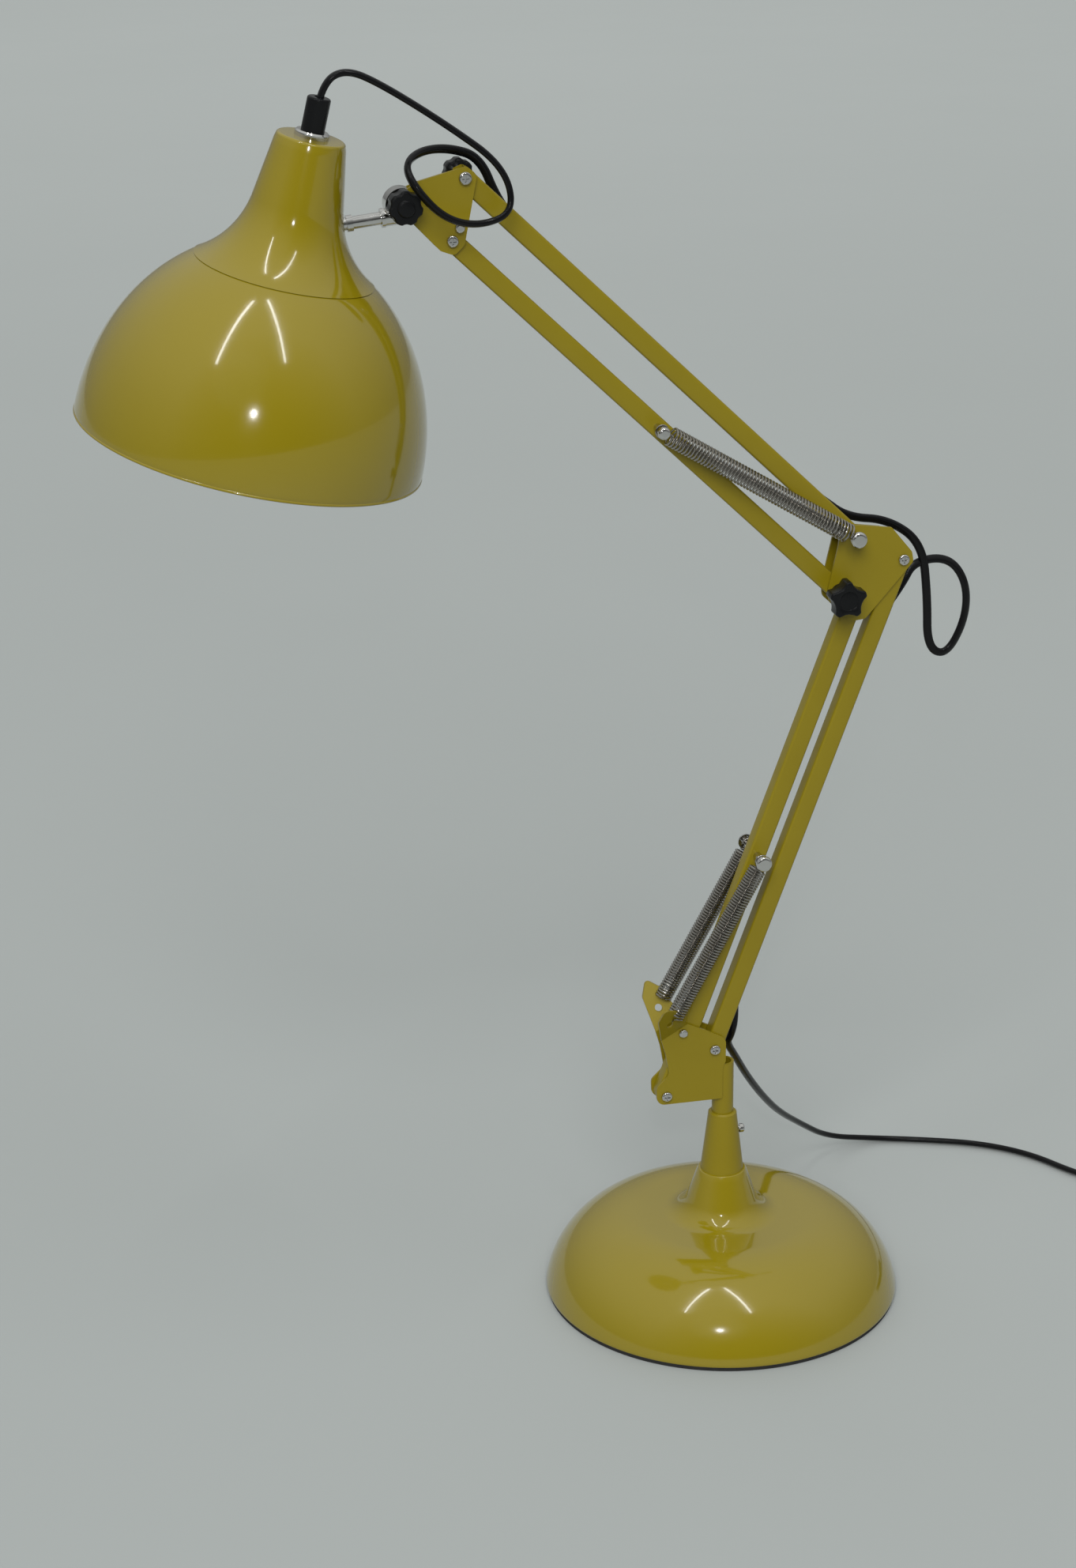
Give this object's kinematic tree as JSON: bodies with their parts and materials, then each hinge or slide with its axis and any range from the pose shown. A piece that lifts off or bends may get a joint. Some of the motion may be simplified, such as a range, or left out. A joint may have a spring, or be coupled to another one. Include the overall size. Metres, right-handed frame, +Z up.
{
  "type": "adjustable desk lamp",
  "caption": "Desk lamp with a weighted dome base, spring-balanced parallel arms in square tube, and a bell shade that tilts and turns at the end.",
  "frame": {"origin": "centre of the base's underside, on the floor", "axes": "+Z up, -Y to the front, the shade to -X"},
  "size_m": [0.6742, 0.2458, 0.6896],
  "materials": {
    "gloss_paint": "glossy mustard paint",
    "satin_paint": "satin mustard paint",
    "chrome": "bright plating",
    "black_plastic": "moulded black",
    "cord_skin": "smooth black flex",
    "pad": "matt black",
    "iron": "rough casting",
    "bulb_glass": "opal"
  },
  "bodies": {
    "base": {"base_shell": "gloss_paint", "base_weight": "iron", "base_pad": "pad", "base_bolt": "chrome", "socket_cone": "satin_paint", "cone_lock_screw": "chrome", "cord_tail": "cord_skin", "cord_coil": "cord_skin", "coil_tie": "black_plastic", "plug": "black_plastic", "plug_pin_left": "chrome", "plug_pin_right": "chrome"},
    "lower_bracket": {"lower_bracket": "satin_paint", "lower_screw_a": "chrome", "lower_screw_b": "chrome", "lower_rivet": "chrome"},
    "right_bar": {"lower_right_bar": "satin_paint", "cord_lower_run": "cord_skin"},
    "left_bar": {"lower_left_bar": "satin_paint", "lower_spring_pin": "chrome"},
    "lower_springs": {"lower_spring_front": "chrome", "lower_spring_rear": "chrome"},
    "elbow": {"elbow_cheek_front": "satin_paint", "elbow_cheek_rear": "satin_paint", "elbow_screw_left": "chrome", "elbow_screw_right": "chrome", "elbow_spring_bolt": "chrome", "elbow_bolt": "chrome", "cord_elbow": "cord_skin"},
    "elbow_knob": {"elbow_knob": "black_plastic"},
    "top_bar": {"upper_top_bar": "satin_paint", "cord_upper_run": "cord_skin"},
    "bottom_bar": {"upper_bottom_bar": "satin_paint", "upper_spring_pin": "chrome"},
    "upper_spring": {"upper_spring": "chrome"},
    "head_bracket": {"head_cheek_front": "satin_paint", "head_cheek_rear": "satin_paint", "head_screw_lower": "chrome", "head_rivet": "chrome", "head_bolt": "chrome", "tilt_bolt": "chrome", "cord_head": "cord_skin"},
    "rear_knob": {"rear_knob": "black_plastic"},
    "tilt_knob": {"tilt_knob": "black_plastic"},
    "tilt_stub": {"tilt_block": "chrome", "stub_rod": "chrome"},
    "shade": {"shade_neck": "gloss_paint", "shade_dome": "gloss_paint", "neck_nut": "chrome", "cord_grip": "black_plastic", "lampholder": "black_plastic", "bulb": "bulb_glass"}
  },
  "joints": [
    {"name": "base_swivel", "type": "hinge", "parent": "base", "child": "lower_bracket", "pos_m": [0, 0, 0.1], "axis": [0, 0, 1], "range_deg": [-90, 90], "deforming": ["cord_tail"]},
    {"name": "lower_arm", "type": "hinge", "parent": "lower_bracket", "child": "right_bar", "pos_m": [-0.0067, 0, 0.1491], "axis": [0, -1, 0], "range_deg": [-8, 50], "deforming": ["cord_tail", "cord_elbow", "lower_spring_front", "lower_spring_rear"]},
    {"name": "left_bar_follow", "type": "hinge", "parent": "lower_bracket", "child": "left_bar", "pos_m": [-0.034, 0, 0.1237], "axis": [0, -1, 0], "range_deg": [-9, 51]},
    {"name": "elbow_level", "type": "hinge", "parent": "right_bar", "child": "elbow", "pos_m": [0.09406, 0, 0.42252], "axis": [0, -1, 0], "range_deg": [-51, 9]},
    {"name": "lower_spring_swing", "type": "hinge", "parent": "lower_bracket", "child": "lower_springs", "pos_m": [-0.0341, 0, 0.1696], "axis": [0, -1, 0], "range_deg": [-12.36, 72], "deforming": ["lower_spring_front", "lower_spring_rear"]},
    {"name": "upper_arm", "type": "hinge", "parent": "elbow", "child": "top_bar", "pos_m": [0.06551, 0, 0.43802], "axis": [0, -1, 0], "range_deg": [-20, 45], "deforming": ["cord_elbow", "cord_head", "upper_spring"]},
    {"name": "bottom_bar_follow", "type": "hinge", "parent": "elbow", "child": "bottom_bar", "pos_m": [0.05861, 0, 0.40742], "axis": [0, -1, 0], "range_deg": [-21, 46]},
    {"name": "head_level", "type": "hinge", "parent": "top_bar", "child": "head_bracket", "pos_m": [-0.13875, 0, 0.6339], "axis": [0, -1, 0], "range_deg": [-46, 21]},
    {"name": "upper_spring_stretch", "type": "slide", "parent": "top_bar", "child": "upper_spring", "axis": [-0.8552, 0, 0.5184], "range_m": [-0.01077, 0.02299], "deforming": ["upper_spring"]},
    {"name": "shade_tilt", "type": "hinge", "parent": "head_bracket", "child": "tilt_stub", "pos_m": [-0.17, 0, 0.622], "axis": [0, -1, 0], "range_deg": [-60, 18], "deforming": ["cord_head"]},
    {"name": "shade_swivel", "type": "hinge", "parent": "tilt_stub", "child": "shade", "pos_m": [-0.16937, 0, 0.61644], "axis": [0.9938, 0, 0.1115], "range_deg": [-40, 40], "deforming": ["cord_head"]},
    {"name": "elbow_knob_turn", "type": "hinge", "parent": "elbow", "child": "elbow_knob", "pos_m": [0.05861, -0.015, 0.40742], "axis": [0, -1, 0], "continuous": true},
    {"name": "tilt_knob_turn", "type": "hinge", "parent": "head_bracket", "child": "tilt_knob", "pos_m": [-0.17, -0.012, 0.622], "axis": [0, -1, 0], "continuous": true},
    {"name": "rear_knob_turn", "type": "hinge", "parent": "head_bracket", "child": "rear_knob", "pos_m": [-0.13875, 0.012, 0.6339], "axis": [0, 1, 0], "continuous": true}
  ],
  "couplings": [
    {"joint": "left_bar_follow", "follows": "lower_arm", "ratio": 1},
    {"joint": "elbow_level", "follows": "lower_arm", "ratio": -1},
    {"joint": "lower_spring_swing", "follows": "lower_arm", "ratio": 1.42},
    {"joint": "bottom_bar_follow", "follows": "upper_arm", "ratio": 1},
    {"joint": "head_level", "follows": "upper_arm", "ratio": -1},
    {"joint": "upper_spring_stretch", "follows": "upper_arm", "m_per_rad": 0.028}
  ]
}
